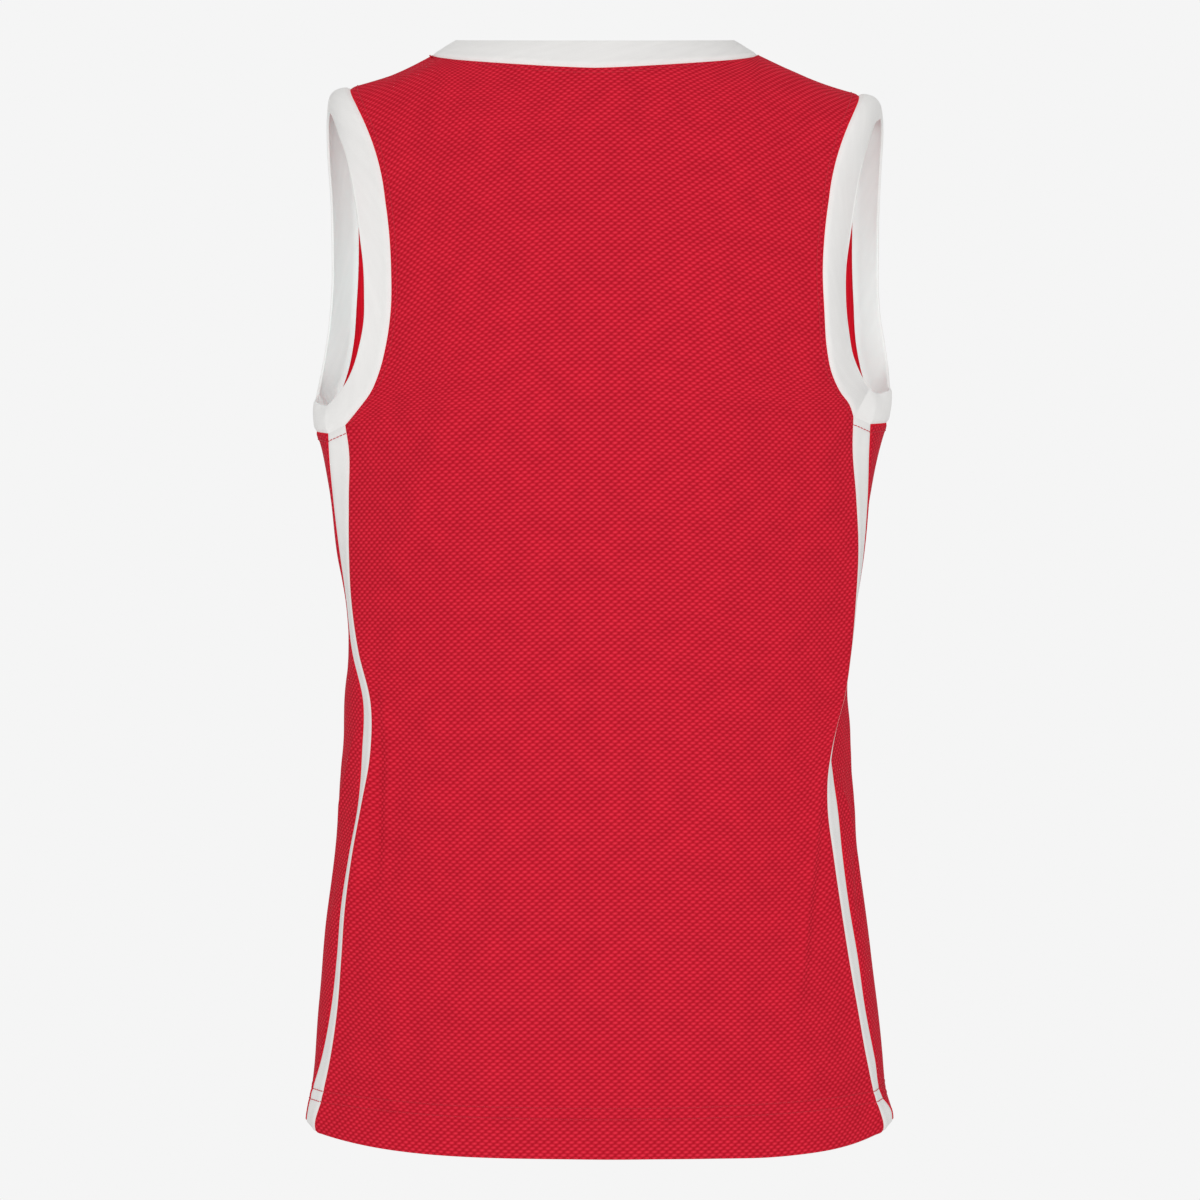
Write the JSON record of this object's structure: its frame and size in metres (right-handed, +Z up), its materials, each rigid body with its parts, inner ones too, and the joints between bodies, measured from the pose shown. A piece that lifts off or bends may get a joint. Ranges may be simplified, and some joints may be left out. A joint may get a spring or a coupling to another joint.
{
  "type": "basketball jersey",
  "caption": "Sleeveless basketball jersey in red mesh knit with white rib bands at neck and armholes and white side stripes, held in its filled-out worn form",
  "frame": {"origin": "midway between the two shoulders, at the height where the straps rest on the wearer", "axes": "+Z up towards the neck, -Y the front of the garment, +X the wearer's left side"},
  "size_m": [0.4153, 0.252, 0.773],
  "materials": {
    "body_knit": "matte birdseye mesh knit",
    "stripe_knit": "matte smooth knit",
    "rib_band": "matte fine rib knit"
  },
  "bodies": {
    "root": {"back_panel": "body_knit", "front_panel": "body_knit", "side_insert_left": "body_knit", "side_insert_right": "body_knit", "stripe_back_left": "stripe_knit", "stripe_back_right": "stripe_knit", "stripe_front_left": "stripe_knit", "stripe_front_right": "stripe_knit", "neck_band": "rib_band", "armhole_band_left": "rib_band", "armhole_band_right": "rib_band"}
  },
  "joints": []
}
